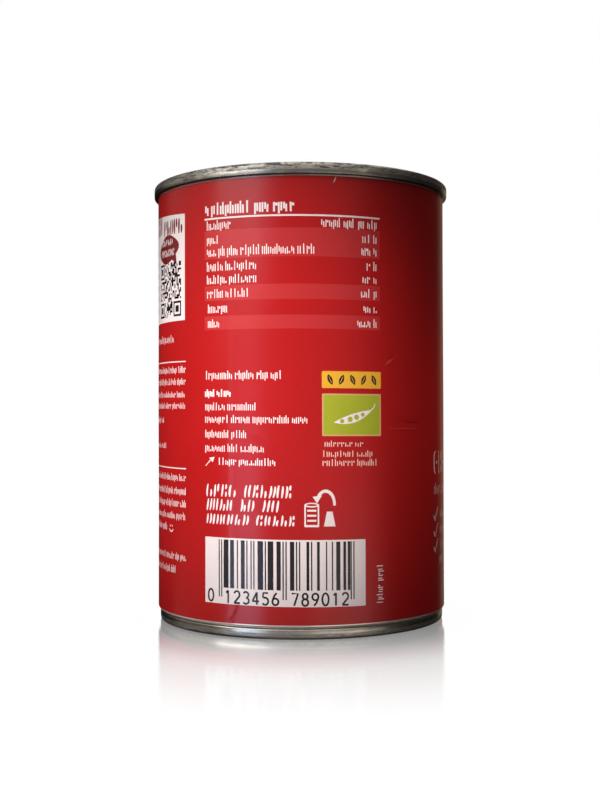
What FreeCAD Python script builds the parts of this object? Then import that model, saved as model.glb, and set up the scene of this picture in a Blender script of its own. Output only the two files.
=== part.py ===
import FreeCAD, Part
import math
import os

# A shut 425 ml food can of the 73 x 110 mm trade size, standing upright.
# Frame: millimetres, +Z up along the can's axis, origin at the middle of the
# circle that the bottom seam rests on. The middle of the nutrition panel side
# faces -Y. Angles round the can are measured from -Y towards +X.

# ---- driving dimensions -------------------------------------------------
height = 109.55           # from the resting face to the crown of the top seam
body_radius = 36.50       # outside of the tinplate wall
wall = 0.25               # tinplate of the two ends

top_seam_radius = 37.65   # outside of the upper double seam
top_seam_inner = 36.30    # inside of the upper seam at its crown
top_seam_length = 2.85

base_seam_radius = 36.15  # outside of the lower double seam, necked in
base_seam_inner = 34.80
base_seam_length = 2.55

neck_radius = 35.12       # body wall where it enters the lower seam
neck_shoulder_z = 2.95    # corner between the wall and the neck cone
neck_foot_z = 2.69        # corner between the neck cone and the neck
neck_shoulder_round = 0.30
neck_foot_round = 0.12

seam_crown_round = 0.72   # outer top edge of a seam
seam_inner_round = 0.30   # inner top edge of a seam
seam_skirt_round = 0.45   # outer lower edge of a seam
seam_bulge = 0.06         # a seam is a little fatter at mid length
chuck_taper = 4.0         # degrees, wall inside the seam

countersink_depth = 4.20  # below the seam's crown
countersink_width = 1.25
panel_rise = 0.90         # panel above the countersink
panel_wall_run = 0.30
bead_step = 0.45          # depth of the concentric steps in the panel
# outer radius of each concentric step as a share of the panel's radius
bead_shares = (0.895, 0.760, 0.560, 0.400)
countersink_round = 0.55
panel_edge_round = 0.45
bead_round = 0.50

paper = 0.13              # label paper with its varnish
label_foot_z = 3.41
label_head_z = 106.50
lap_edge_deg = -43.2      # the label's outer end, glued over its inner end
lap_width = 10.0
lap_ramp = 1.6            # where the upper layer comes down to the wall again


# ---- small profile kit: points are (r, z), each corner has its own round -
def unit(a, b):
    dx, dz = b[0] - a[0], b[1] - a[1]
    length = math.hypot(dx, dz)
    return dx / length, dz / length


def parallel(points, rounds, gap):
    """The same line moved gap to its left, with every round kept concentric."""
    dirs = [unit(a, b) for a, b in zip(points, points[1:])]
    moved = [(points[0][0] - dirs[0][1] * gap, points[0][1] + dirs[0][0] * gap)]
    new_rounds = [0.0]
    for i in range(1, len(points) - 1):
        (ax, az), (bx, bz) = dirs[i - 1], dirs[i]
        turn = ax * bz - az * bx
        # the corner goes along the bisector of the two normals
        nx, nz = -(az + bz), ax + bx
        scale = gap / (1.0 + ax * bx + az * bz)
        moved.append((points[i][0] + nx * scale, points[i][1] + nz * scale))
        grow = -gap if turn > 0 else gap
        new_rounds.append(rounds[i] + grow if rounds[i] else 0.0)
    moved.append((points[-1][0] - dirs[-1][1] * gap, points[-1][1] + dirs[-1][0] * gap))
    new_rounds.append(0.0)
    return moved, new_rounds


def vec(p):
    return FreeCAD.Vector(p[0], 0.0, p[1])


def edges_of(points, rounds):
    """Straight runs joined by tangent arcs, in the XZ half plane."""
    edges = []
    start = points[0]
    for i in range(1, len(points) - 1):
        a = unit(points[i - 1], points[i])
        b = unit(points[i], points[i + 1])
        dot = max(-1.0, min(1.0, a[0] * b[0] + a[1] * b[1]))
        turn = math.acos(dot)
        r = rounds[i]
        if r <= 0.0 or turn < 1e-6:
            edges.append(Part.makeLine(vec(start), vec(points[i])))
            start = points[i]
            continue
        back = r * math.tan(turn / 2.0)
        t0 = (points[i][0] - a[0] * back, points[i][1] - a[1] * back)
        t1 = (points[i][0] + b[0] * back, points[i][1] + b[1] * back)
        # the arc's middle lies on the bisector, towards the inside of the turn
        mx, mz = b[0] - a[0], b[1] - a[1]
        m = math.hypot(mx, mz)
        reach = r / math.cos(turn / 2.0) - r
        mid = (points[i][0] + mx / m * reach, points[i][1] + mz / m * reach)
        if math.hypot(t0[0] - start[0], t0[1] - start[1]) > 1e-6:
            edges.append(Part.makeLine(vec(start), vec(t0)))
        edges.append(Part.Arc(vec(t0), vec(mid), vec(t1)).toShape())
        start = t1
    edges.append(Part.makeLine(vec(start), vec(points[-1])))
    return edges


def spin(edges):
    """A solid of revolution from closed edges that start and end on the axis."""
    wire = Part.Wire(Part.__sortEdges__(edges))
    face = Part.Face(wire)
    solid = face.revolve(FreeCAD.Vector(0, 0, 0), FreeCAD.Vector(0, 0, 1), 360)
    if solid.ShapeType != "Solid":
        solid = solid.Solids[0]
    if solid.Volume < 0:
        solid.reverse()
    return solid


# ---- the ends, drawn with depth measured from the seam's crown ----------
def end_skin(inner):
    """Exposed side of an end from its middle out to the seam's inner crown."""
    slope = math.tan(math.radians(chuck_taper))
    groove_out = inner - countersink_depth * slope
    groove_in = groove_out - countersink_width
    panel_radius = groove_in - panel_wall_run
    panel_depth = countersink_depth - panel_rise
    points = [(0.0, 0.0)]
    rounds = [0.0]
    # the middle disc and each second ring are sunk by one step
    level = len(bead_shares) % 2
    inside_out = sorted(bead_shares)
    for i, share in enumerate(inside_out):
        sunk_inside = (len(inside_out) - i) % 2 == 1
        here = panel_depth + (bead_step if sunk_inside else 0.0)
        after = panel_depth + (0.0 if sunk_inside else bead_step)
        r = panel_radius * share
        points += [(r - bead_step / 2, here), (r + bead_step / 2, after)]
        rounds += [bead_round, bead_round]
    points[0] = (0.0, points[1][1])
    points += [
        (panel_radius, panel_depth),
        (groove_in, countersink_depth),
        (groove_out, countersink_depth),
        (inner, 0.0),
    ]
    rounds += [panel_edge_round, countersink_round, countersink_round, seam_inner_round]
    return points, rounds


def end_section(inner, outer, length, wall_radius, to_z):
    """Edges of an end with its double seam, and the edges of its hidden side."""
    skin, skin_rounds = end_skin(inner)
    slope = math.tan(math.radians(chuck_taper))
    crown_out = (outer - seam_bulge, 0.0)
    fat = (outer, length * 0.55)
    skirt = (outer - seam_bulge * 0.5, length)
    exposed = skin + [crown_out, fat, skirt, (wall_radius, length)]
    exposed_rounds = skin_rounds + [seam_crown_round, 6.0, seam_skirt_round, 0.0]
    # hidden side: the skin moved by one sheet, from the axis to the seam's foot
    hidden, hidden_rounds = parallel(skin, skin_rounds, wall)
    foot_r = inner + wall / math.cos(math.radians(chuck_taper)) - length * slope
    hidden[0] = (0.0, hidden[0][1])
    hidden[-1] = (foot_r, length)
    hidden_rounds[-1] = 0.0
    place = lambda pts: [(r, to_z(d)) for r, d in pts]
    exposed, hidden = place(exposed), place(hidden)
    ledge = [(foot_r, to_z(length)), (wall_radius, to_z(length))]
    return exposed, exposed_rounds, hidden, hidden_rounds, ledge


def end_solid(section):
    exposed, exposed_rounds, hidden, hidden_rounds, ledge = section
    edges = edges_of(exposed, exposed_rounds)
    edges.append(Part.makeLine(vec(ledge[1]), vec(ledge[0])))
    edges += edges_of(hidden, hidden_rounds)
    edges.append(Part.makeLine(vec(hidden[0]), vec(exposed[0])))
    return spin(edges)


top = end_section(top_seam_inner, top_seam_radius, top_seam_length, body_radius,
                  lambda d: height - d)
base = end_section(base_seam_inner, base_seam_radius, base_seam_length, neck_radius,
                   lambda d: d)

# ---- the body: a shut can is solid between its two ends ------------------
wall_points = [
    base[4][1],
    (neck_radius, neck_foot_z),
    (body_radius, neck_shoulder_z),
    top[4][1],
]
wall_rounds = [0.0, neck_foot_round, neck_shoulder_round, 0.0]
body_edges = edges_of(base[2], base[3])
body_edges.append(Part.makeLine(vec(base[4][0]), vec(base[4][1])))
body_edges += edges_of(wall_points, wall_rounds)
body_edges.append(Part.makeLine(vec(top[4][1]), vec(top[4][0])))
body_edges += edges_of(top[2], top[3])
body_edges.append(Part.makeLine(vec(top[2][0]), vec(base[2][0])))
can_body = spin(body_edges)
top_end = end_solid(top)
bottom_end = end_solid(base)


# ---- the paper label: one sheet wrapped round, its end lapped over -------
def ring_point(radius, degrees, z):
    a = math.radians(degrees)
    return FreeCAD.Vector(radius * math.sin(a), -radius * math.cos(a), z)


def ring_arc(radius, start, end, z):
    return Part.Arc(ring_point(radius, start, z),
                    ring_point(radius, (start + end) / 2.0, z),
                    ring_point(radius, end, z)).toShape()


def label_solid():
    z = label_foot_z
    single = body_radius + paper
    double = body_radius + 2.0 * paper
    lap_deg = math.degrees(lap_width / body_radius)
    ramp_deg = math.degrees(lap_ramp / body_radius)
    a0 = lap_edge_deg                   # outer end of the sheet, a square step
    a1 = a0 + lap_deg                   # inner end of the sheet, underneath
    a2 = a1 + ramp_deg                  # the upper layer is down on the wall
    mid = (a2 + a0 + 360.0) / 2.0
    outer = [
        Part.makeLine(ring_point(single, a0, z), ring_point(double, a0, z)),
        ring_arc(double, a0, a1, z),
        Part.makeLine(ring_point(double, a1, z), ring_point(single, a2, z)),
        ring_arc(single, a2, mid, z),
        ring_arc(single, mid, a0 + 360.0, z),
    ]
    face = Part.Face([Part.Wire(outer),
                      Part.Wire([Part.Circle(FreeCAD.Vector(0, 0, z),
                                             FreeCAD.Vector(0, 0, 1),
                                             body_radius).toShape()])])
    face.validate()
    return face.extrude(FreeCAD.Vector(0, 0, label_head_z - label_foot_z))


paper_label = label_solid()

# ---- one file for each piece ---------------------------------------------
os.makedirs("parts", exist_ok=True)
pieces = {
    "can_body": can_body,
    "top_end": top_end,
    "bottom_end": bottom_end,
    "paper_label": paper_label,
}
for name, shape in pieces.items():
    if shape.ShapeType != "Solid":
        shape = shape.Solids[0]
    print(name, shape.ShapeType, shape.isValid(), "%.3f ml" % (shape.Volume / 1000.0),
          "z %.3f..%.3f r %.3f" % (shape.BoundBox.ZMin, shape.BoundBox.ZMax,
                                   shape.BoundBox.XMax))
    shape.exportStep("parts/%s.step" % name)
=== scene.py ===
import bpy
import math
import random
import numpy as np
from mathutils import Matrix, Vector
from mathutils.geometry import delaunay_2d_cdt


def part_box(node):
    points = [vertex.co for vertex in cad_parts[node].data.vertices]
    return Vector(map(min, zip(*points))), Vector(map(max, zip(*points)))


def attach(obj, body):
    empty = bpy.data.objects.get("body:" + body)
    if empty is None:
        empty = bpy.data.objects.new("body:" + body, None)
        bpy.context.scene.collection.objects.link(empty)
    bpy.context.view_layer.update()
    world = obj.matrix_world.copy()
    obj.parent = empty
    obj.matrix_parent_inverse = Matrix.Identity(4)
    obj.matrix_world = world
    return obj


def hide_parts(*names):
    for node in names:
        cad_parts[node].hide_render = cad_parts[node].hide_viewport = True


# A shut 425 ml food can with a wrapped paper label, standing on a pale floor.
# Everything below is worked out in millimetres and written to Blender in metres.
# Print is drawn on the unrolled label: s runs round the can from the middle of
# the nutrition side (-Y) towards +X, z runs up.

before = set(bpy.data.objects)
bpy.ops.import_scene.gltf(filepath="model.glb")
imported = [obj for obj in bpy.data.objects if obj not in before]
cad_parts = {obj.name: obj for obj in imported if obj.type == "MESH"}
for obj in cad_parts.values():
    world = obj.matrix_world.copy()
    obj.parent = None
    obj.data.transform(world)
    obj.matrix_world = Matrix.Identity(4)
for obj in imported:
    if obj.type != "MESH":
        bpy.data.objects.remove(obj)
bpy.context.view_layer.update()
MM = 0.001


def box_mm(node):
    lo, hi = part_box(node)
    return [c / MM for c in lo], [c / MM for c in hi]


label_lo, label_hi = box_mm("paper_label")
top_lo, top_hi = box_mm("top_end")
base_lo, base_hi = box_mm("bottom_end")

FOOT = label_lo[2]
HEAD = label_hi[2]
CROWN = top_hi[2]
BODY_R = 36.50
PAPER = 0.13
SINGLE = BODY_R + PAPER
DOUBLE = BODY_R + 2.0 * PAPER
INSIDE = BODY_R + 0.01
ROUND = 2.0 * math.pi * SINGLE            # length of the unrolled label
LAP_S = math.radians(-43.2) * SINGLE      # outer end of the sheet
LAP_W = 10.0
LAP_RAMP = 1.6
LIFT = -0.45           # the print and the creases sit this much lower than drawn

# ---------------------------------------------------------------------------
# materials
# ---------------------------------------------------------------------------


def srgb(r, g, b):
    out = []
    for v in (r, g, b):
        v /= 255.0
        out.append(v / 12.92 if v <= 0.04045 else ((v + 0.055) / 1.055) ** 2.4)
    return (out[0], out[1], out[2], 1.0)


class Tree:
    """A material's nodes, wired with short calls."""

    def __init__(self, name):
        self.mat = bpy.data.materials.new(name)
        self.mat.use_nodes = True
        self.t = self.mat.node_tree
        self.bsdf = self.t.nodes["Principled BSDF"]
        self.out = self.t.nodes["Material Output"]

    def node(self, kind, **values):
        n = self.t.nodes.new(kind)
        for k, v in values.items():
            setattr(n, k, v)
        return n

    def put(self, socket, value):
        if isinstance(value, bpy.types.NodeSocket):
            self.t.links.new(value, socket)
        else:
            socket.default_value = value

    def math(self, op, a, b=None, c=None, clamp=False):
        n = self.node("ShaderNodeMath", operation=op, use_clamp=clamp)
        self.put(n.inputs[0], a)
        if b is not None:
            self.put(n.inputs[1], b)
        if c is not None:
            self.put(n.inputs[2], c)
        return n.outputs[0]

    def place(self):
        return self.node("ShaderNodeTexCoord").outputs["Object"]

    def split(self, vector):
        n = self.node("ShaderNodeSeparateXYZ")
        self.put(n.inputs[0], vector)
        return n.outputs[0], n.outputs[1], n.outputs[2]

    def join(self, x, y, z):
        n = self.node("ShaderNodeCombineXYZ")
        for i, v in enumerate((x, y, z)):
            self.put(n.inputs[i], v)
        return n.outputs[0]

    def noise(self, vector, scale, detail=3.0, rough=0.5, warp=0.0):
        n = self.node("ShaderNodeTexNoise")
        self.put(n.inputs["Vector"], vector)
        n.inputs["Scale"].default_value = scale
        n.inputs["Detail"].default_value = detail
        n.inputs["Roughness"].default_value = rough
        n.inputs["Distortion"].default_value = warp
        return n.outputs[0]

    def ramp(self, value, lo, hi, to_lo=0.0, to_hi=1.0, smooth=True):
        n = self.node("ShaderNodeMapRange")
        n.interpolation_type = "SMOOTHSTEP" if smooth else "LINEAR"
        n.clamp = True
        self.put(n.inputs[0], value)
        n.inputs[1].default_value = lo
        n.inputs[2].default_value = hi
        n.inputs[3].default_value = to_lo
        n.inputs[4].default_value = to_hi
        return n.outputs[0]

    def blend(self, factor, a, b, mode="MIX"):
        n = self.node("ShaderNodeMix", data_type="RGBA", blend_type=mode)
        self.put(n.inputs[0], factor)
        self.put(n.inputs[6], a)
        self.put(n.inputs[7], b)
        return n.outputs[2]

    def bump(self, height, strength, distance, normal=None):
        n = self.node("ShaderNodeBump")
        n.inputs["Strength"].default_value = strength
        n.inputs["Distance"].default_value = distance
        self.put(n.inputs["Height"], height)
        if normal is not None:
            self.put(n.inputs["Normal"], normal)
        return n.outputs[0]

    def shift(self, vector, x, y, z):
        n = self.node("ShaderNodeVectorMath", operation="ADD")
        self.put(n.inputs[0], vector)
        n.inputs[1].default_value = (x, y, z)
        return n.outputs[0]

    def rings(self, vector, around, along, out):
        """Object coordinates stretched so that noise runs in streaks round +Z."""
        x, y, z = self.split(vector)
        r = self.math("SQRT", self.math("ADD", self.math("MULTIPLY", x, x), self.math("MULTIPLY", y, y)))
        r = self.math("MAXIMUM", r, 1e-5)
        c = self.math("DIVIDE", x, r)
        s = self.math("DIVIDE", y, r)
        w = self.math("ADD", self.math("MULTIPLY", z, along), self.math("MULTIPLY", r, out))
        return self.join(self.math("MULTIPLY", c, around), self.math("MULTIPLY", s, around), w), r, z


def scaled(colour, k):
    return (min(1.0, colour[0] * k), min(1.0, colour[1] * k), min(1.0, colour[2] * k), 1.0)


def printed_paper(name, colour, rough=0.34, dusk=0.96, fibre=0.35, grain=0.02, seed=0.0):
    """Varnished printed paper: faintly cloudy ink, fine paper fibre, rubbed varnish."""
    m = Tree(name)
    p = m.shift(m.place(), seed * 0.013, seed * 0.007, seed * 0.011)
    cloud = m.noise(p, 38.0, 3.0, 0.5)
    speck = m.noise(p, 1100.0, 3.0, 0.6)
    fine = m.noise(p, 4200.0, 2.0, 0.6)
    base = m.blend(m.ramp(cloud, 0.30, 0.70), scaled(colour, dusk), colour)
    tint = m.ramp(speck, 0.28, 0.72, 1.0 - grain, 1.0 + grain)
    base = m.blend(1.0, base, m.join(tint, tint, tint), "MULTIPLY")
    m.put(m.bsdf.inputs["Base Color"], base)
    rub = m.noise(m.shift(p, 0.3, 0.1, 0.2), 70.0, 4.0, 0.55)
    m.put(m.bsdf.inputs["Roughness"], m.ramp(rub, 0.25, 0.75, rough - 0.03, rough + 0.02))
    m.bsdf.inputs["IOR"].default_value = 1.5
    height = m.math("ADD", m.math("MULTIPLY", fine, 0.35), m.math("MULTIPLY", speck, 0.65))
    m.put(m.bsdf.inputs["Normal"], m.bump(height, fibre, 0.00002))
    return m.mat


RED_INK = (0.448, 0.01024, 0.0108, 1.0)
slots = [
    ("label_red", printed_paper("label_red", RED_INK, 0.248)),
    ("label_white", printed_paper("label_white", (0.92, 0.84, 0.82, 1.0), 0.248, 0.975, seed=1.0, grain=0.010)),
    ("label_band", printed_paper("label_band", (0.512, 0.032, 0.0336, 1.0), 0.248, seed=2.0)),
    ("label_deep_red", printed_paper("label_deep_red", (0.18, 0.0112, 0.012, 1.0), 0.248, 0.93, seed=3.0)),
    ("label_black", printed_paper("label_black", (0.0176, 0.0128, 0.016, 1.0), 0.248, 0.80, seed=4.0)),
    ("label_yellow", printed_paper("label_yellow", (0.88, 0.475, 0.040, 1.0), 0.248, 0.96, seed=5.0)),
    ("label_green", printed_paper("label_green", (0.425, 0.482, 0.034, 1.0), 0.248, 0.92, seed=6.0)),
    ("label_cream", printed_paper("label_cream", (0.70, 0.415, 0.175, 1.0), 0.248, 0.95, seed=7.0)),
    ("label_sauce", printed_paper("label_sauce", (0.496, 0.072, 0.0128, 1.0), 0.248, 0.86, seed=8.0)),
    ("label_leaf", printed_paper("label_leaf", (0.068, 0.152, 0.024, 1.0), 0.248, 0.84, seed=9.0)),
    ("label_cut_edge", printed_paper("label_cut_edge", (0.700, 0.600, 0.560, 1.0), 0.72, 0.85, fibre=0.9, seed=10.0)),
    ("label_pale", printed_paper("label_pale", (0.92, 0.66, 0.56, 1.0), 0.248, 0.96, seed=11.0)),
]
RED, WHITE, BAND, DEEP, INK, YELLOW, GREEN, CREAM, SAUCE, LEAF, CUT, PALE = range(12)

# ---------------------------------------------------------------------------
# print: fields of colour and simple shapes on the unrolled label
# ---------------------------------------------------------------------------


def askew(s):
    """The print runs a little downhill to the right on the visible side."""
    return 0.08 - 0.0075 * max(-66.0, min(60.0, s)) if -70.0 < s < 70.0 else 0.0


class Print:
    def __init__(self):
        self.shapes = []

    def poly(self, points, slot):
        area = 0.0
        for (a, b), (c, d) in zip(points, points[1:] + points[:1]):
            area += a * d - c * b
        if abs(area) < 1e-6:
            return
        if area < 0:
            points = points[::-1]
        points = [(s, z + askew(s) + LIFT) for s, z in points]
        if min(p[0] for p in points) < LAP_S - 0.001:
            points = [(s + ROUND, z) for s, z in points]
        self.shapes.append((points, slot))

    def rect(self, s0, z0, s1, z1, slot, lean=0.0):
        k = lean * (z1 - z0)
        self.poly([(s0, z0), (s1, z0), (s1 + k, z1), (s0 + k, z1)], slot)

    def panel(self, s0, z0, s1, z1, slot, corner=0.3, steps=4):
        pts = []
        for cx, cz, a in ((s1 - corner, z0 + corner, -90), (s1 - corner, z1 - corner, 0),
                          (s0 + corner, z1 - corner, 90), (s0 + corner, z0 + corner, 180)):
            for i in range(steps + 1):
                t = math.radians(a + 90.0 * i / steps)
                pts.append((cx + corner * math.cos(t), cz + corner * math.sin(t)))
        self.poly(pts, slot)

    def blob(self, s, z, rs, rz, slot, turn=0.0, steps=24, wobble=None):
        c, k = math.cos(turn), math.sin(turn)
        pts = []
        for i in range(steps):
            t = 2.0 * math.pi * i / steps
            w = wobble(t) if wobble else 1.0
            x, y = rs * w * math.cos(t), rz * w * math.sin(t)
            pts.append((s + x * c - y * k, z + x * k + y * c))
        self.poly(pts, slot)

    def stroke(self, points, width, slot, taper=0.0):
        """One brush stroke along a line: a strip with ends that may narrow."""
        n = len(points)
        left, right = [], []
        for i, (s, z) in enumerate(points):
            a = points[max(0, i - 1)]
            b = points[min(n - 1, i + 1)]
            dx, dz = b[0] - a[0], b[1] - a[1]
            length = math.hypot(dx, dz) or 1.0
            u = abs(2.0 * i / (n - 1) - 1.0)
            w = 0.5 * width * (1.0 - taper * u * u)
            left.append((s - dz / length * w, z + dx / length * w))
            right.append((s + dz / length * w, z - dx / length * w))
        self.poly(right + left[::-1], slot)


art = Print()

# marks that hold a letter's place in fine print: unjoined upright stems and dots,
# as shares of the cell's width and of the small letters' height
MARKS = (
    ((0.10, 0.00, 0.30, 1.00), (0.60, 0.00, 0.80, 1.00)),
    ((0.10, 0.00, 0.30, 1.45), (0.60, 0.00, 0.80, 0.92)),
    ((0.10, 0.08, 0.30, 0.92), (0.62, 0.00, 0.82, 0.72)),
    ((0.16, 0.00, 0.36, 1.00), (0.60, 0.62, 0.84, 0.92)),
    ((0.12, -0.40, 0.32, 0.96), (0.60, 0.10, 0.80, 1.00)),
    ((0.10, 0.00, 0.30, 0.92), (0.60, 0.00, 0.80, 1.45)),
    ((0.14, 0.30, 0.34, 1.00), (0.60, 0.00, 0.80, 0.80)),
    ((0.36, 0.00, 0.56, 1.30),),
    ((0.10, 0.00, 0.30, 0.88), (0.60, 0.06, 0.84, 0.34)),
)


def fine_print(rng, s0, s1, z0, z1, slot, pitch=0.98, weight=1.0, gaps=None):
    """A line of greeked words between s0 and s1, z0 to z1 being its full height."""
    height = z1 - z0
    rise = height * 0.66
    foot = z0 + 0.14 * height
    along = s0
    words = gaps or []
    if not gaps:
        left = s1 - s0
        while left > pitch * 1.5:
            n = rng.choice((2, 3, 4, 5, 5, 6, 7, 8, 9))
            w = min(left, n * pitch)
            if left - w < pitch * 2.4:
                w = left
            words.append((along, along + w))
            along += w + pitch * 0.50
            left = s1 - along
    for a, b in words:
        count = max(1, int(round((b - a) / pitch)))
        cell = (b - a) / count
        for i in range(count):
            pick = rng.choice(MARKS)
            for x0, y0, x1, y1 in pick:
                mid = 0.5 * (x0 + x1) * cell + rng.uniform(-0.03, 0.03)
                h0 = max(z0, foot + y0 * rise)
                h1 = min(z1, foot + y1 * rise + rng.uniform(-0.05, 0.05))
                w = 0.115 * weight
                if y1 - y0 < 0.4:
                    w *= 1.35
                at = a + i * cell + mid
                lean = rng.uniform(-0.04, 0.04)
                art.poly([(at - w, h0), (at + w, h0), (at + w + lean, h1), (at - w + lean, h1)], slot)


def brush_print(rng, s0, s1, z0, z1, slot, pitch=2.0, width=0.55, lean=0.16):
    """A line of loose brush strokes, as hand lettering seen without its letters."""
    count = max(1, int(round((s1 - s0) / pitch)))
    cell = (s1 - s0) / count
    h = z1 - z0

    def brushed(x, lo, hi, bow, slant, w):
        line = []
        for k in range(6):
            t = k / 5.0
            line.append((x + slant * h * t * (hi - lo) / h + bow * math.sin(math.pi * t), lo + (hi - lo) * t))
        art.stroke(line, w, slot, 0.45)

    for i in range(count):
        a = s0 + i * cell
        j = lambda k: rng.uniform(-k, k)
        slant = lean + j(0.05)
        brushed(a + 0.18 * cell + j(0.05), z0 + abs(j(0.15)), z1 - abs(j(0.2)), j(0.16), slant, width * rng.uniform(0.9, 1.1))
        kind = rng.choice((0, 0, 1, 2, 3))
        x = a + 0.66 * cell + j(0.06)
        if kind == 0:
            brushed(x, z0 + abs(j(0.3)), z1 - abs(j(0.3)), j(0.2), slant, width)
        elif kind == 1:
            brushed(x, z0 + 0.42 * h, z1 - 0.05, j(0.2), slant, width)
        elif kind == 2:
            brushed(x, z0 + 0.05, z0 + 0.55 * h, j(0.2), slant, width)
        else:
            brushed(x, z0 + 0.10, z0 + 0.40 * h, j(0.12), slant, width * 0.95)
            brushed(x + 0.10, z0 + 0.62 * h, z1 - 0.05, j(0.12), slant, width * 0.95)


def tick(s, z, size, slot):
    art.stroke([(s, z + 0.42 * size), (s + 0.16 * size, z + 0.22 * size), (s + 0.32 * size, z)], 0.15 * size, slot, 0.2)
    art.stroke([(s + 0.28 * size, z + 0.02 * size), (s + 0.56 * size, z + 0.5 * size), (s + 0.92 * size, z + size)],
               0.14 * size, slot, 0.45)


def bean(s, z, size, turn, slot, shade=None):
    def outline(t):
        return 1.0 - 0.30 * math.exp(-((t - 1.5 * math.pi) / 0.62) ** 2) + 0.05 * math.cos(2 * t)
    art.blob(s, z, 1.0 * size, 0.60 * size, slot, turn, 26, outline)
    if shade is not None:
        art.blob(s + 0.10 * size, z + 0.12 * size, 0.42 * size, 0.12 * size, shade, turn, 12)


rng = random.Random(41)

# nutrition table ------------------------------------------------------------
T0, T1 = -24.25, 19.35
for z1, z0 in ((94.9, 88.3), (82.0, 78.5), (74.9, 71.7)):
    art.rect(T0, z0, T1, z1, BAND)
art.rect(T0, 97.55, T1, 97.95, WHITE)
fine_print(rng, -24.15, -1.6, 98.15, 101.45, WHITE, 1.30, 1.9,
           gaps=[(-24.15, -22.85), (-22.3, -11.9), (-10.9, -7.3), (-6.4, -2.9), (-2.5, -1.4)])
rows = (
    (97.3, 94.75, -23.6, -16.7, [(4.7, 9.3), (10.0, 12.6), (13.6, 15.2), (15.9, 18.6)]),
    (93.8, 91.5, -23.6, -20.0, [(14.6, 16.9), (17.5, 18.6)]),
    (91.2, 88.5, -23.6, 3.3, [(14.4, 16.8), (17.5, 18.6)]),
    (87.6, 85.1, -23.6, -10.3, [(15.6, 16.9), (17.5, 18.6)]),
    (84.5, 82.1, -23.6, -10.2, [(14.6, 16.8), (17.5, 18.6)]),
    (81.2, 78.8, -23.6, -12.0, [(14.3, 16.8), (17.5, 18.6)]),
    (77.7, 75.3, -23.3, -17.6, [(14.8, 16.9), (17.5, 18.6)]),
    (74.2, 71.9, -23.3, -19.9, [(13.3, 16.8), (17.5, 18.6)]),
)
for z1, z0, a, b, right in rows:
    fine_print(rng, a, b, z0, z1, WHITE, 0.97, 1.08)
    fine_print(rng, 0, 0, z0, z1, WHITE, 0.95, 1.08, gaps=right)

# address lines ----------------------------------------------------------------
for z1, z0, b, weight in ((62.1, 59.8, -4.3, 1.08), (57.8, 55.75, -16.8, 1.6), (54.7, 52.6, -10.5, 1.08),
                          (51.8, 49.65, 1.6, 1.08), (48.3, 46.2, -12.8, 1.08), (45.1, 42.95, -8.5, 1.08)):
    fine_print(rng, -24.2, b, z0, z1, WHITE, 0.98, weight)
fine_print(rng, -20.4, -5.8, 39.9, 41.9, WHITE, 1.0, 1.15)
# small pointer in front of the last line
art.stroke([(-24.0, 39.9), (-22.9, 40.9), (-21.9, 41.8)], 0.22, WHITE)
art.poly([(-21.35, 42.0), (-22.9, 41.75), (-21.9, 40.75)], WHITE)

# yellow badge with a plain row of leaves --------------------------------------
art.panel(4.8, 58.1, 19.55, 62.0, YELLOW, 0.3)
for i in range(5):
    cx, up = 6.75 + i * 2.72, (0.95 if i % 2 else -0.95)
    leaf = [(cx + 0.55 * up * (t / 5.0 - 1.0), 60.05 + 1.20 * (t / 5.0 - 1.0)) for t in range(11)]
    art.stroke(leaf, 1.12, INK, 1.0)
    art.stroke([(leaf[2][0], leaf[2][1]), (leaf[8][0], leaf[8][1])], 0.14, YELLOW)

# green field with a plain bean pod -------------------------------------------
art.panel(4.85, 47.1, 19.5, 56.85, CREAM, 0.18, 3)
art.panel(5.2, 47.45, 19.15, 56.5, GREEN, 0.12, 3)
pod = []
for i in range(25):
    t = i / 24.0
    pod.append((7.6 + 9.4 * t, 50.2 + 2.9 * t + 1.15 * math.sin(math.pi * t) * -0.4))
art.stroke(pod, 2.0, WHITE, 0.97)
for t, r in ((0.24, 0.50), (0.42, 0.62), (0.60, 0.62), (0.77, 0.48)):
    k = int(t * 24)
    art.blob(pod[k][0], pod[k][1], r, r, GREEN, 0.0, 16)
art.stroke([(pod[-1][0] - 0.2, pod[-1][1] - 0.05), (17.6, 53.7), (17.9, 54.6)], 0.24, WHITE)
for z1, z0, a, b in ((46.0, 44.45, 5.3, 14.85), (43.8, 42.1, 4.8, 17.3), (41.8, 40.0, 4.8, 18.55)):
    fine_print(rng, a, b, z0, z1, PALE, 0.98, 0.90)

# brushed lines and a plain can-and-arrow sign --------------------------------
for z1, z0, runs in ((35.75, 32.75, ((-24.0, -15.4), (-13.6, -1.9))),
                     (32.35, 29.55, ((-24.0, -16.3), (-14.6, -11.0), (-9.3, -4.9))),
                     (28.85, 26.35, ((-24.0, -12.2), (-10.6, -1.2)))):
    for a, b in runs:
        brush_print(rng, a, b, z0, z1, WHITE, 1.95, 0.52, 0.16)
art.rect(0.70, 26.5, 1.05, 31.3, WHITE)
art.rect(3.75, 26.5, 4.10, 31.3, WHITE)
art.blob(2.40, 31.3, 1.70, 0.55, WHITE, 0.0, 20)
art.blob(2.40, 31.3, 1.28, 0.26, RED, 0.0, 18)
art.panel(0.70, 26.25, 4.10, 26.75, WHITE, 0.2, 3)
for k in range(3):
    art.rect(1.35, 27.5 + 1.15 * k, 3.45, 27.95 + 1.15 * k, WHITE)
arc = [(4.3 + 2.1 * math.cos(math.radians(150 - 14 * i)) + 1.3, 31.4 + 3.1 * math.sin(math.radians(150 - 14 * i)))
       for i in range(12)]
art.stroke(arc, 0.75, WHITE, 0.2)
art.poly([(arc[0][0] - 1.15, arc[0][1] + 0.25), (arc[0][0] + 0.95, arc[0][1] + 0.55), (arc[0][0] - 0.15, arc[0][1] - 1.25)],
         WHITE)
art.poly([(5.2, 26.4), (7.9, 26.4), (7.2, 29.8), (5.9, 29.8)], WHITE)

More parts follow.
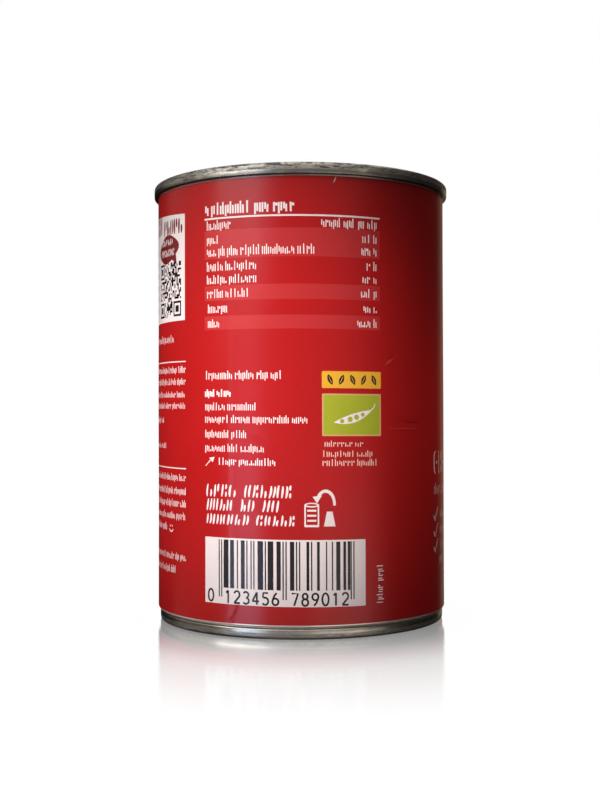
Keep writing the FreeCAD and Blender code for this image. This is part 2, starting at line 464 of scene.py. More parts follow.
# bar field ---------------------------------------------------------------------
art.panel(-24.15, 8.0, 15.25, 23.3, WHITE, 0.15, 3)


def bar_widths(total):
    """Bar and gap widths in modules, seeded, filling total modules."""
    while True:
        out, used = [], 0
        while used < total - 1:
            w = rng.choice((1, 1, 1, 2, 2, 3, 4))
            out.append(w)
            used += w
        if used == total - 1 and len(out) % 2 == 0 or used == total and len(out) % 2 == 0:
            if used == total:
                return out
            out[-1] += 1
            return out


module = (12.5 + 20.2) / 95.0
at = -20.2


def guard(at, pattern):
    for c in pattern:
        if c == "1":
            art.rect(at + 0.02, 9.6, at + module - 0.02, 22.9, INK)
        at += module
    return at


def half(at, total=42):
    filled = False
    for w in bar_widths(total):
        if filled:
            art.rect(at + 0.02, 11.75, at + w * module - 0.02, 22.9, INK)
        filled = not filled
        at += w * module
    return at


at = guard(at, "101")
at = half(at)
at = guard(at, "01010")
at = half(at)
at = guard(at, "101")


def bow(cx, cz, rx, rz, a0, a1, n=9):
    out = []
    for i in range(n + 1):
        t = math.radians(a0 + (a1 - a0) * i / n)
        out.append((cx + rx * math.cos(t), cz + rz * math.sin(t)))
    return out


# plain counting figures in a box one wide and one and a half high
FIGURES = {
    0: [bow(0.5, 0.75, 0.40, 0.70, 0, 360, 20)],
    1: [[(0.25, 1.18), (0.56, 1.46)], [(0.56, 1.48), (0.56, 0.02)]],
    2: [bow(0.5, 1.06, 0.38, 0.40, 165, -40, 9) + [(0.12, 0.08)], [(0.10, 0.07), (0.92, 0.07)]],
    3: [bow(0.46, 1.10, 0.36, 0.34, 150, -80, 9), bow(0.46, 0.41, 0.41, 0.36, 85, -150, 10)],
    4: [[(0.66, 0.02), (0.66, 1.46)], [(0.66, 1.44), (0.08, 0.42)], [(0.06, 0.42), (0.94, 0.42)]],
    5: [[(0.84, 1.42), (0.22, 1.42), (0.18, 0.86)], bow(0.46, 0.47, 0.40, 0.42, 125, -145, 10)],
    6: [bow(0.5, 0.44, 0.38, 0.38, 0, 360, 16), [(0.16, 0.60), (0.34, 1.08), (0.66, 1.46)]],
    7: [[(0.10, 1.42), (0.88, 1.42), (0.40, 0.02)]],
    8: [bow(0.5, 1.10, 0.31, 0.33, 0, 360, 14), bow(0.5, 0.41, 0.38, 0.38, 0, 360, 16)],
    9: [bow(0.5, 1.05, 0.38, 0.38, 0, 360, 16), [(0.84, 0.90), (0.66, 0.42), (0.34, 0.04)]],
}


def figure(n, a, z0, w, h, width, slot):
    for line in FIGURES[n]:
        pts = [(a + x * w, z0 + z * h / 1.5) for x, z in line]
        if math.hypot(pts[0][0] - pts[-1][0], pts[0][1] - pts[-1][1]) < 0.01:
            # a closed ring goes down as two strokes that overlap
            k = len(pts) // 2
            art.stroke(pts[:k + 2], width, slot)
            art.stroke(pts[k:] + pts[1:2], width, slot)
        else:
            art.stroke(pts, width, slot)


figure(0, -23.35, 8.30, 1.84, 2.98, 0.46, INK)
for i in range(6):
    figure(i + 1, -18.62 + i * 2.34, 8.25, 1.84, 2.98, 0.46, INK)
for i in range(6):
    figure((7, 8, 9, 0, 1, 2)[i], -2.42 + i * 2.34, 8.25, 1.84, 2.98, 0.46, INK)

# line that runs up the can ------------------------------------------------------
def upright_print(rng, s0, s1, z0, z1, slot, pitch=0.98, weight=1.0):
    """A greeked line that reads upwards between s0 and s1, from z0 to z1."""
    keep = art.shapes
    art.shapes = []
    fine_print(rng, z0, z1, 0.0, s1 - s0, slot, pitch, weight)
    made, art.shapes = art.shapes, keep
    for points, which in made:
        art.poly([(s1 - z, s) for s, z in points], which)


upright_print(rng, 17.75, 19.75, 8.1, 12.6, WHITE, 0.98, 0.95)
upright_print(rng, 17.75, 19.75, 13.4, 17.5, WHITE, 0.98, 0.95)

# left: white card with a dark heading, a bubble and a mosaic field -------------
art.poly([(-66.0, 74.3), (-31.5, 74.5), (-31.5, 100.05), (-66.0, 102.2)], WHITE)
brush_print(rng, -65.0, -44.5, 96.2, 101.2, DEEP, 2.6, 0.75, 0.05)
brush_print(rng, -42.9, -32.3, 95.6, 99.4, DEEP, 2.1, 0.75, 0.05)
art.blob(-40.6, 92.3, 6.3, 3.35, DEEP, 0.10, 30, lambda t: 1.0 + 0.05 * math.cos(4 * t + 0.4))
art.poly([(-38.4, 89.9), (-35.6, 91.2), (-35.2, 88.3)], DEEP)
brush_print(rng, -44.6, -37.2, 93.2, 94.9, WHITE, 1.35, 0.36, 0.1)
brush_print(rng, -45.2, -36.4, 90.5, 92.4, WHITE, 1.35, 0.36, 0.1)
M0, MZ, MN = -46.4, 75.6, 25
step = 13.3 / MN
cells = [[rng.random() < 0.50 for _ in range(MN)] for _ in range(MN)]
for ci, cj in ((0, 0), (MN - 7, 0), (0, MN - 7)):
    for i in range(-1, 8):
        for j in range(-1, 8):
            x, y = ci + i, cj + j
            if 0 <= x < MN and 0 <= y < MN:
                ring = max(abs(i - 3), abs(j - 3))
                cells[y][x] = ring in (0, 1, 3)
for j in range(MN):
    i = 0
    while i < MN:
        if cells[j][i]:
            k = i
            while k < MN and cells[j][k]:
                k += 1
            art.rect(M0 + i * step, MZ + j * step, M0 + k * step, MZ + (j + 1) * step, INK)
            i = k
        else:
            i += 1
for k in range(6):
    fine_print(rng, -64.5, -49.5, 77.0 + 2.9 * k, 79.0 + 2.9 * k, INK, 0.95, 0.9)

# left: column of small print, its lines end at the same place --------------------
EDGE_S = -31.15
column = [
    (71.2, 69.0, -63.0, -36.6),
    (63.5, 61.6, -66.0, EDGE_S), (60.6, 58.75, -66.0, EDGE_S), (57.4, 55.7, -66.0, -31.6), (54.7, 53.0, -66.0, -31.4),
    (51.2, 49.5, -66.0, -43.3), (44.9, 43.3, -66.0, -41.3),
    (37.5, 35.6, -66.0, EDGE_S), (34.3, 32.3, -66.0, EDGE_S), (31.3, 29.3, -66.0, EDGE_S), (28.3, 26.3, -66.0, -31.4),
    (25.3, 23.3, -66.0, -41.0), (18.5, 16.5, -66.0, EDGE_S), (15.3, 13.2, -66.0, -35.9),
]
for z1, z0, a, b in column:
    fine_print(rng, a, b, z0, z1, WHITE, 0.98, 0.98)
art.rect(-66.0, 64.45, EDGE_S, 64.70, WHITE)
art.rect(-66.0, 38.75, EDGE_S, 39.00, WHITE)
# a plain smile after the last line
art.stroke([(-38.3 + 1.15 * math.cos(math.radians(200 + 14 * i)), 24.4 + 1.0 * math.sin(math.radians(200 + 14 * i)))
            for i in range(11)], 0.34, WHITE, 0.3)
art.blob(-38.8, 24.75, 0.20, 0.24, WHITE, 0.0, 10)
art.blob(-37.75, 24.75, 0.20, 0.24, WHITE, 0.0, 10)

# front face, mostly turned away ----------------------------------------------------
# tall title marks
x = 39.9
for k, (w, kind) in enumerate(((3.4, 0), (1.6, 1), (2.2, 2), (3.4, 0), (2.0, 2), (1.6, 1), (3.4, 0), (2.2, 2), (1.6, 1))):
    if kind == 0:
        art.stroke([(x + 1.30, 43.3), (x + 0.45, 42.6), (x + 0.15, 40.5), (x + 0.45, 38.4), (x + 1.30, 37.7)], 0.55, WHITE, 0.5)
        art.blob(x + 2.1, 40.5, 0.42, 0.42, WHITE, 0.0, 12)
    elif kind == 1:
        art.stroke([(x + 0.5, 37.6), (x + 0.5, 43.2)], 0.48, WHITE, 0.15)
    else:
        art.stroke([(x + 0.4, 41.2), (x + 1.5, 43.0)], 0.44, WHITE, 0.2)
        art.stroke([(x + 0.4, 37.9), (x + 1.5, 39.7)], 0.44, WHITE, 0.2)
    x += w
fine_print(rng, 40.0, 62.0, 32.2, 35.5, WHITE, 1.55, 0.75)
for z0 in (26.1, 22.2, 18.4):
    tick(39.75, z0, 3.4, WHITE)
    fine_print(rng, 44.6, 66.0 - 1.4 * (z0 % 3), z0 + 0.35, z0 + 2.75, WHITE, 1.15, 0.95)
fine_print(rng, 44.0, 58.0, 15.4, 17.7, WHITE, 1.15, 0.95)

# big plain title field and a bowl of beans, no lettering
art.panel(84.0, 90.6, 146.0, 99.4, CREAM, 1.6, 5)
for k in range(7):
    a = 88.2 + k * 8.0
    art.panel(a, 92.4, a + (5.4 if k % 3 else 3.2), 97.6, DEEP, 0.8, 4)
art.stroke([(92.0 + 2.0 * i, 87.2 + 0.35 * math.sin(i * 0.9)) for i in range(24)], 0.7, CREAM, 0.6)
art.blob(115.0, 62.0, 25.0, 21.5, CREAM, 0.0, 72)
art.blob(115.0, 62.0, 23.4, 19.9, DEEP, 0.0, 70)
art.blob(115.0, 62.0, 22.6, 19.1, SAUCE, 0.0, 70, lambda t: 1.0 + 0.012 * math.sin(7 * t + 1.0))
placed = []
tries = 0
bean_rng = random.Random(7)
while len(placed) < 34 and tries < 4000:
    tries += 1
    a = bean_rng.uniform(0, 2 * math.pi)
    d = math.sqrt(bean_rng.random())
    s, z = 115.0 + 18.6 * d * math.cos(a), 62.0 + 15.4 * d * math.sin(a)
    size = bean_rng.uniform(2.5, 3.2)
    if all(math.hypot(s - p[0], z - p[1]) > 0.86 * (size + p[2]) for p in placed):
        placed.append((s, z, size, bean_rng.uniform(0, math.pi)))
for s, z, size, turn in placed:
    bean(s + 0.25, z - 0.30, size * 1.06, turn, DEEP)
    bean(s, z, size, turn, CREAM, WHITE)
for s, z, turn in ((108.0, 76.6, 0.5), (113.2, 78.4, 1.3), (119.5, 77.6, 2.2), (124.0, 75.0, 2.8), (103.4, 73.2, 0.1)):
    art.stroke([(s + 2.9 * (i / 8.0 - 0.5) * 2 * math.cos(turn), z + 2.9 * (i / 8.0 - 0.5) * 2 * math.sin(turn))
                for i in range(9)], 2.3, LEAF, 1.0)
art.panel(88.0, 27.6, 142.0, 34.4, CREAM, 1.2, 5)
for k in range(5):
    a = 92.0 + k * 9.6
    art.panel(a, 29.2, a + 7.4, 32.8, RED, 0.6, 4)
art.rect(86.0, 22.2, 144.0, 22.6, CREAM)
art.rect(86.0, 10.2, 144.0, 10.6, CREAM)
fine_print(rng, 92.0, 138.0, 17.2, 20.2, CREAM, 1.45, 1.0)
fine_print(rng, 97.0, 133.0, 12.4, 15.2, CREAM, 1.30, 1.0)
# white fibres where the varnish is nicked at the label's head
art.stroke([(7.62, 105.35), (7.95, 105.9), (8.25, 106.75)], 0.16, WHITE, 0.6)
art.poly([(-1.05, 58.2), (-0.80, 58.1), (-0.62, 58.35), (-0.9, 58.45)], DEEP)
# painted shade in dark strokes on the furrows and painted highlight in pale strokes on the ridges, where the paper is
# creased
art.stroke([(25.6, 50.42), (28.0, 50.40), (30.4, 50.28), (33.2, 50.1)], 0.40, DEEP, 0.95)
art.stroke([(20.9, 48.95), (24.0, 48.85), (28.0, 48.85), (32.8, 48.75)], 0.30, BAND, 0.95)
art.stroke([(21.8, 65.25), (22.6, 65.5), (23.5, 65.95)], 0.24, DEEP, 0.7)
art.stroke([(20.6, 63.6), (21.8, 64.35), (23.2, 65.1)], 0.75, BAND, 0.95)
# painted shade: a dark line along the sharp crease at the foot
art.stroke([(-15.35, 7.55), (-15.9, 6.3), (-16.6, 5.1), (-17.0, 4.15)], 0.15, DEEP, 0.85)

# ---------------------------------------------------------------------------
# the label sheet
# ---------------------------------------------------------------------------


def ease(t):
    t = np.clip(t, 0.0, 1.0)
    return t * t * (3.0 - 2.0 * t)


def line_field(s, z, a, b):
    """Signed side distance and place along the segment from a to b."""
    dx, dz = b[0] - a[0], b[1] - a[1]
    length = math.hypot(dx, dz)
    ux, uz = dx / length, dz / length
    along = (s - a[0]) * ux + (z - a[1]) * uz
    side = -(s - a[0]) * uz + (z - a[1]) * ux
    return side, along / length


def crease(s, z, a, b, height, width, offset=0.0):
    """A ridge or furrow along a segment that fades towards both its ends."""
    side, t = line_field(s, z, a, b)
    side = side - offset
    fade = ease(t / 0.18) * ease((1.0 - t) / 0.18)
    return height * np.exp(-(side / width) ** 2) * fade


wave_rng = np.random.default_rng(5)
WAVES = []
for _ in range(26):
    n = int(wave_rng.integers(2, 15))
    kz = float(wave_rng.uniform(-0.16, 0.16))
    WAVES.append((n / SINGLE, kz, float(wave_rng.uniform(0, 2 * math.pi)), float(wave_rng.uniform(0.3, 1.0)) / (1.0 + 0.18 * n)))


def relief(s, z):
    """How far the paper stands off a true cylinder, in mm."""
    h = np.zeros_like(s)
    for ks, kz, ph, amp in WAVES:
        h += amp * np.sin(ks * s + kz * z + ph)
    h *= 0.0075
    foot = np.exp(-((z - FOOT) / 7.0) ** 2)
    z = z - LIFT
    # the can's rolled beads show faintly through the paper
    for zb, amp in ((83.2, 0.7), (77.4, 1.0), (71.5, 0.8), (65.4, 1.0), (59.6, 0.7), (53.4, 0.9), (47.2, 1.0), (41.0, 0.8),
                    (34.9, 1.0), (28.8, 0.6)):
        h += 0.0075 * amp * np.exp(-((z - zb) / 1.5) ** 2)
    # glue-dried cockles near the foot of the sheet
    h += 0.010 * foot * np.sin(0.55 * s + 0.7 * np.sin(0.21 * s))
    # creases and scuffs
    h += crease(s, z, (-14.9, 8.9), (-17.4, 3.2), 0.080, 0.26, 0.22)
    h -= crease(s, z, (-14.9, 8.9), (-17.4, 3.2), 0.130, 0.20, -0.16)
    h -= crease(s, z, (-14.9, 8.9), (-17.4, 3.2), 0.040, 0.70, -0.9)
    h -= crease(s, z, (23.0, 50.6), (34.5, 50.0), 0.065, 0.42)
    h += crease(s, z, (20.5, 48.9), (34.5, 48.5), 0.055, 0.46)
    h -= crease(s, z, (21.0, 64.6), (24.2, 66.1), 0.070, 0.34)
    h += crease(s, z, (20.4, 63.3), (23.9, 65.3), 0.055, 0.46)
    h -= 0.05 * np.exp(-(((s + 10.9) / 1.5) ** 2 + ((z - 47.1) / 0.55) ** 2))
    h -= 0.04 * np.exp(-(((s + 8.8) / 0.9) ** 2 + ((z - 46.6) / 0.9) ** 2))
    return np.clip(h, -0.075, 0.075)


def sheet_radius(s, z):
    over = 1.0 - ease((s - (LAP_S + LAP_W)) / LAP_RAMP)
    return SINGLE + PAPER * over + relief(s, z)


def bent(s, z):
    th = s / SINGLE
    r = sheet_radius(s, z)
    return np.stack([r * np.sin(th), -r * np.cos(th), z], 1)


def bent_normals(s, z):
    d = 0.04
    r = sheet_radius(s, z)
    ds = (sheet_radius(s + d, z) - sheet_radius(s - d, z)) / (2 * d)
    dz = (sheet_radius(s, z + d) - sheet_radius(s, z - d)) / (2 * d)
    th = s / SINGLE
    out = np.stack([np.sin(th), -np.cos(th), np.zeros_like(th)], 1)
    tan = np.stack([np.cos(th), np.sin(th), np.zeros_like(th)], 1)
    n = out - tan * ds[:, None] - np.array([0, 0, 1.0])[None, :] * dz[:, None]
    return n / np.linalg.norm(n, axis=1)[:, None]


def build_label():
    n_s, n_z = 230, 84
    s_lo, s_hi = LAP_S, LAP_S + ROUND
    grid_s = s_lo + (s_hi - s_lo) * np.arange(n_s + 1) / n_s
    grid_z = FOOT + (HEAD - FOOT) * np.arange(n_z + 1) / n_z
    keep = np.ones((n_s + 1, n_z + 1), bool)
    verts, faces, shape_slots = [], [], []
    segments = []
    for points, slot in art.shapes:
        first = len(verts)
        n = len(points)
        for (a, b), (c, d) in zip(points, points[1:] + points[:1]):
            cuts = max(1, math.ceil(abs(c - a) / 1.1), math.ceil(abs(d - b) / 3.0))
            for k in range(cuts):
                t = k / cuts
                verts.append((a + (c - a) * t, b + (d - b) * t))
            segments.append((a, b, c, d))
        faces.append(list(range(first, len(verts))))
        shape_slots.append(slot)
    near = 0.14
    hs, hz = (s_hi - s_lo) / n_s, (HEAD - FOOT) / n_z
    for a, b, c, d in segments:
        i0 = max(1, int((min(a, c) - near - s_lo) / hs))
        i1 = min(n_s - 1, int((max(a, c) + near - s_lo) / hs) + 1)
        j0 = max(1, int((min(b, d) - near - FOOT) / hz))
        j1 = min(n_z - 1, int((max(b, d) + near - FOOT) / hz) + 1)
        if i1 < i0 or j1 < j0:
            continue
        gs = grid_s[i0:i1 + 1][:, None]
        gz = grid_z[j0:j1 + 1][None, :]
        dx, dz = c - a, d - b
        ll = dx * dx + dz * dz + 1e-12
        t = np.clip(((gs - a) * dx + (gz - b) * dz) / ll, 0, 1)
        dist = np.hypot(gs - a - t * dx, gz - b - t * dz)
        keep[i0:i1 + 1, j0:j1 + 1] &= dist > near
    for i in range(n_s + 1):
        for j in range(n_z + 1):
            if keep[i, j]:
                verts.append((grid_s[i], grid_z[j]))
    # more points where the paper is creased
    extra = []
    for (a, b), width in ((((-14.9, 8.9), (-17.6, 3.95)), 1.7), (((20.5, 49.9), (34.5, 49.3)), 1.9),
                          (((20.2, 63.6), (24.6, 65.9)), 1.4)):
        length = math.hypot(b[0] - a[0], b[1] - a[1])
        ux, uz = (b[0] - a[0]) / length, (b[1] - a[1]) / length
        for i in range(int(length / 0.45)):
            for k in range(-6, 7):
                e = width * k / 6.0
                s = a[0] + ux * 0.45 * i - uz * e
                z = a[1] + uz * 0.45 * i + ux * e + LIFT
                if FOOT + 0.25 < z < HEAD - 0.25:
                    extra.append((s + 0.013, z + 0.017))
    for j in range(1, n_z):
        for k in (0.0, 0.4, 0.8, 1.2, 1.6):
            extra.append((LAP_S + LAP_W + k + 0.0071, grid_z[j] + 0.5 * hz * (k % 0.8) / 0.8 - 0.011))
    seg = np.array(segments)
    for s, z in extra:
        near_by = seg[(np.minimum(seg[:, 0], seg[:, 2]) < s + 0.1) & (np.maximum(seg[:, 0], seg[:, 2]) > s - 0.1)
                      & (np.minimum(seg[:, 1], seg[:, 3]) < z + 0.1) & (np.maximum(seg[:, 1], seg[:, 3]) > z - 0.1)]
        if len(near_by):
            d = near_by[:, 2:] - near_by[:, :2]
            t = np.clip(((s - near_by[:, 0]) * d[:, 0] + (z - near_by[:, 1]) * d[:, 1]) / ((d ** 2).sum(1) + 1e-12), 0, 1)
            if np.hypot(s - near_by[:, 0] - t * d[:, 0], z - near_by[:, 1] - t * d[:, 1]).min() < 0.09:
                continue
        verts.append((s, z))
    flat, _, tris, _, _, owners = delaunay_2d_cdt([Vector(v) for v in verts], [], faces, 0, 1e-6, True)
    co = np.array([(v.x, v.y) for v in flat])
    tri = np.array([list(f) for f in tris], int)
    a, b, c = co[tri[:, 0]], co[tri[:, 1]], co[tri[:, 2]]
    area = 0.5 * ((b[:, 0] - a[:, 0]) * (c[:, 1] - a[:, 1]) - (b[:, 1] - a[:, 1]) * (c[:, 0] - a[:, 0]))
    tri[area < 0] = tri[area < 0][:, ::-1]
    mat = np.array([shape_slots[max(o)] if len(o) else RED for o in owners], int)
    good = np.abs(area) > 1e-9
    tri, mat = tri[good], mat[good]
    outer = bent(co[:, 0], co[:, 1])
    normals = bent_normals(co[:, 0], co[:, 1])
    # which points lie on the sheet's four sides
    tol = 1e-4
    head = [i for i in range(len(co)) if abs(co[i, 1] - HEAD) < tol]
    foot = [i for i in range(len(co)) if abs(co[i, 1] - FOOT) < tol]
    left = [i for i in range(len(co)) if abs(co[i, 0] - s_lo) < tol]
    right = [i for i in range(len(co)) if abs(co[i, 0] - s_hi) < tol]
    head.sort(key=lambda i: co[i, 0])
    foot.sort(key=lambda i: co[i, 0])
    left.sort(key=lambda i: co[i, 1])
    right.sort(key=lambda i: co[i, 1])
    points = [tuple(p) for p in outer]
    polys = [tuple(t) for t in tri.tolist()]
    mats = mat.tolist()
    n_outer = len(polys)

    def inner_ring(line):
        ring = []
        for i in line[:-1]:
            th = co[i, 0] / SINGLE
            ring.append(len(points))
            points.append((INSIDE * math.sin(th), -INSIDE * math.cos(th), co[i, 1]))
        ring.append(ring[0])
        return ring

    head_in = inner_ring(head)
    foot_in = inner_ring(foot)
    last = head[-1], foot[-1]
    # edge faces: the paper's cut head and foot
    for k in range(len(head) - 1):
        if k == 0:
            polys.append((head[0], head[1], head_in[1], head_in[0], last[0]))
        else:
            polys.append((head[k], head[k + 1], head_in[k + 1], head_in[k]))
        mats.append(CUT)
    for k in range(len(foot) - 1):
        if k == 0:
            polys.append((foot_in[0], foot_in[1], foot[1], foot[0], last[1]))
        else:
            polys.append((foot_in[k], foot_in[k + 1], foot[k + 1], foot[k]))
        mats.append(CUT)
    # the square step of the lap
    i = j = 0
    while i < len(left) - 1 or j < len(right) - 1:
        zi = co[left[i + 1], 1] if i < len(left) - 1 else 1e9
        zj = co[right[j + 1], 1] if j < len(right) - 1 else 1e9
        if abs(zi - zj) < tol:
            polys.append((right[j], left[i], left[i + 1], right[j + 1]))
            i += 1
            j += 1
        elif zi < zj:
            polys.append((right[j], left[i], left[i + 1]))
            i += 1
        else:
            polys.append((right[j], left[i], right[j + 1]))
            j += 1
        mats.append(CUT)
    # the side against the tinplate
    i = j = 0
    while i < len(foot) - 1 or j < len(head) - 1:
        si = co[foot[i + 1], 0] if i < len(foot) - 1 else 1e9
        sj = co[head[j + 1], 0] if j < len(head) - 1 else 1e9
        if abs(si - sj) < tol:
            polys.append((foot_in[i + 1], foot_in[i], head_in[j], head_in[j + 1]))
            i += 1
            j += 1
        elif si < sj:
            polys.append((foot_in[i + 1], foot_in[i], head_in[j]))
            i += 1
        else:
            polys.append((foot_in[i], head_in[j], head_in[j + 1]))
            j += 1
        mats.append(CUT)

    mesh = bpy.data.meshes.new("label")
    mesh.from_pydata([(x * MM, y * MM, z * MM) for x, y, z in points], [], polys)
    for name, m in slots:
        mesh.materials.append(m)
    mesh.polygons.foreach_set("material_index", np.array(mats, np.int32))
    mesh.polygons.foreach_set("use_smooth", np.ones(len(polys), bool))
    mesh.update()
    # shading normals: the sheet's own slope outside, flat on the cut edges
    loops = np.zeros((len(mesh.loops), 3), np.float32)
    face_n = np.zeros(len(mesh.polygons) * 3, np.float32)
    mesh.polygons.foreach_get("normal", face_n)
    face_n = face_n.reshape(-1, 3)
    starts = np.zeros(len(mesh.polygons), np.int32)
    totals = np.zeros(len(mesh.polygons), np.int32)
    mesh.polygons.foreach_get("loop_start", starts)
    mesh.polygons.foreach_get("loop_total", totals)
    who = np.zeros(len(mesh.loops), np.int32)
    mesh.loops.foreach_get("vertex_index", who)
    owner = np.repeat(np.arange(len(totals)), totals)
    is_outer = owner < n_outer
    loops[is_outer] = normals[who[is_outer]]
    loops[~is_outer] = face_n[owner[~is_outer]]
    # a map for each ink of its own, so that colours never bleed in a baked copy
    uv = mesh.uv_layers.new(name="OFBake")
    rects = {RED: (0.0, 0.0, 1.0, 0.46)}
    others = [k for k in range(len(slots)) if k not in (RED, CUT)]
    for n, k in enumerate(others):
        lo = 0.47 + n * (0.47 / len(others))
        rects[k] = (0.0, lo + 0.003, 1.0, lo + 0.47 / len(others) - 0.003)
    rects[CUT] = (0.0, 0.945, 1.0, 1.0)
    all_s = np.zeros(len(points))
    all_z = np.zeros(len(points))
    all_s[:len(co)] = co[:, 0]
    all_z[:len(co)] = co[:, 1]
    for ring, line in ((head_in, head), (foot_in, foot)):
        for r, l in zip(ring[:-1], line[:-1]):
            all_s[r], all_z[r] = co[l, 0], co[l, 1]
    u = (all_s[who] - s_lo) / (s_hi - s_lo)
    v = (all_z[who] - FOOT) / (HEAD - FOOT)
    # the turn's last faces reach back to the first inner point: unwrap them there
    mean = np.zeros(len(totals))
    np.add.at(mean, owner, u)
    mean /= totals
    fix = (~is_outer) & (mean[owner] > 0.6) & (u < 0.05)
    u[fix] = 1.0
    slot_of = np.array(mats)[owner]
    box = np.array([rects[k] for k in range(len(slots))])[slot_of]
    uvs = np.stack([box[:, 0] + u * (box[:, 2] - box[:, 0]), box[:, 1] + v * (box[:, 3] - box[:, 1])], 1)
    uv.data.foreach_set("uv", uvs.astype(np.float32).ravel())
    mesh.normals_split_custom_set(loops.tolist())
    mesh.validate(verbose=False)
    piece = bpy.data.objects.new("label", mesh)
    bpy.context.scene.collection.objects.link(piece)
    return piece


label = build_label()
print("label", len(label.data.vertices), "points", len(label.data.polygons), "faces", len(art.shapes), "shapes")
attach(label, "root")
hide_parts("paper_label")

# ---------------------------------------------------------------------------
# tinplate
# ---------------------------------------------------------------------------


def tinplate(name, tone=(0.56, 0.545, 0.515), rough=0.22, metallic=1.0, scuffs=None, painted_fold_shade=None):
    """Drawn tinplate: fine streaks round the can, faint clouds, and a scuffed band if
    scuffs gives its two heights in metres and how worn it is."""
    m = Tree(name)
    place = m.place()
    ring, r, z = m.rings(place, 2.2, 900.0, 700.0)
    streak = m.noise(ring, 1.6, 5.0, 0.65)
    ring2, _, _ = m.rings(place, 9.0, 2600.0, 2200.0)
    hair = m.noise(ring2, 1.3, 3.0, 0.6)
    cloud = m.noise(place, 90.0, 4.0, 0.6, 0.5)
    dark = (tone[0] * 0.84, tone[1] * 0.83, tone[2] * 0.78, 1.0)
    base = m.blend(m.ramp(cloud, 0.32, 0.68), dark, (tone[0], tone[1], tone[2], 1.0))
    base = m.blend(m.ramp(streak, 0.44, 0.70, 0.0, 0.45), base, (tone[0] * 0.62, tone[1] * 0.60, tone[2] * 0.54, 1.0))
    rough_value = m.ramp(streak, 0.25, 0.75, rough - 0.04, rough + 0.08)
    height = m.math("ADD", m.math("MULTIPLY", hair, 0.6), m.math("MULTIPLY", streak, 0.8))
    if painted_fold_shade:
        # painted shade: the fold between seam and wall darkened near-black, two heights in metres
        fold = m.math("MULTIPLY", m.ramp(z, painted_fold_shade[0], painted_fold_shade[1]), m.ramp(r, 0.03638, 0.03648))
        base = m.blend(m.math("MULTIPLY", fold, 0.93), base, (0.030, 0.022, 0.020, 1.0))
    if scuffs:
        lo, hi, worn = scuffs
        band = m.math("MULTIPLY", m.ramp(z, lo, lo + 0.0004), m.ramp(z, hi, hi + 0.0004, 1.0, 0.0))
        patch = m.noise(m.shift(place, 0.11, 0.02, 0.0), 52.0, 3.0, 0.6)
        wide, _, _ = m.rings(m.shift(place, 0.0, 0.0, 0.02), 4.6, 1050.0, 850.0)
        blot = m.noise(wide, 2.0, 5.0, 0.68, 0.5)
        grit = m.noise(wide, 5.2, 4.0, 0.7, 0.8)
        spots = m.noise(place, 1300.0, 4.0, 0.7, 0.6)
        dirt = m.math("MULTIPLY", m.ramp(blot, 0.49, 0.57), m.ramp(patch, 0.34, 0.48))
        dirt = m.math("MAXIMUM", dirt, m.math("MULTIPLY", m.ramp(grit, 0.52, 0.59), m.ramp(patch, 0.30, 0.44)))
        dirt = m.math("MAXIMUM", dirt, m.math("MULTIPLY", m.ramp(spots, 0.60, 0.66), 0.8))
        dirt = m.math("MULTIPLY", m.math("MULTIPLY", dirt, band), worn, clamp=True)
        bare = m.math("MULTIPLY", m.ramp(m.noise(m.shift(wide, 3.0, 1.0, 2.0), 3.1, 4.0, 0.7), 0.56, 0.66), band)
        base = m.blend(m.math("MULTIPLY", bare, 0.8 * worn), base, (0.93, 0.90, 0.86, 1.0))
        base = m.blend(m.math("MULTIPLY", dirt, 0.92), base, (0.062, 0.048, 0.055, 1.0))
        rough_value = m.math("ADD", rough_value, m.math("MULTIPLY", band, 0.14 * worn))
        height = m.math("ADD", height, m.math("MULTIPLY", dirt, -1.4))
        m.put(m.bsdf.inputs["Metallic"], m.math("MULTIPLY", m.math("SUBTRACT", 1.0, m.math("MULTIPLY", dirt, 0.7)), metallic))
    else:
        m.bsdf.inputs["Metallic"].default_value = metallic
    m.put(m.bsdf.inputs["Base Color"], base)
    m.put(m.bsdf.inputs["Roughness"], rough_value)
    m.put(m.bsdf.inputs["Normal"], m.bump(height, 0.28, 0.00003))
    return m.mat


def unit(a, b):
    dx, dz = b[0] - a[0], b[1] - a[1]
    length = math.hypot(dx, dz)
    return dx / length, dz / length


def rounded(points, rounds, run=1.6, turn_step=9.0):
    """Straight runs joined by tangent arcs, as a line of (r, z) points."""
    out = [points[0]]

    def straight(to):
        a = out[-1]
        n = max(1, math.ceil(math.hypot(to[0] - a[0], to[1] - a[1]) / run))
        for k in range(1, n + 1):
            out.append((a[0] + (to[0] - a[0]) * k / n, a[1] + (to[1] - a[1]) * k / n))

    for i in range(1, len(points) - 1):
        a, b = unit(points[i - 1], points[i]), unit(points[i], points[i + 1])
        turn = math.acos(max(-1.0, min(1.0, a[0] * b[0] + a[1] * b[1])))
        r = rounds[i]
        if r <= 0.0 or turn < 1e-6:
            straight(points[i])
            continue
        back = r * math.tan(turn / 2.0)
        t0 = (points[i][0] - a[0] * back, points[i][1] - a[1] * back)
        t1 = (points[i][0] + b[0] * back, points[i][1] + b[1] * back)
        if math.hypot(t0[0] - out[-1][0], t0[1] - out[-1][1]) > 1e-4:
            straight(t0)
        side = 1.0 if a[0] * b[1] - a[1] * b[0] > 0 else -1.0
        cx, cz = t0[0] - a[1] * r * side, t0[1] + a[0] * r * side
        a0 = math.atan2(t0[1] - cz, t0[0] - cx)
        n = max(2, math.ceil(math.degrees(turn) / turn_step))
        for k in range(1, n + 1):
            t = a0 + side * turn * k / n
            out.append((cx + r * math.cos(t), cz + r * math.sin(t)))
        out[-1] = t1
    straight(points[-1])
    return out


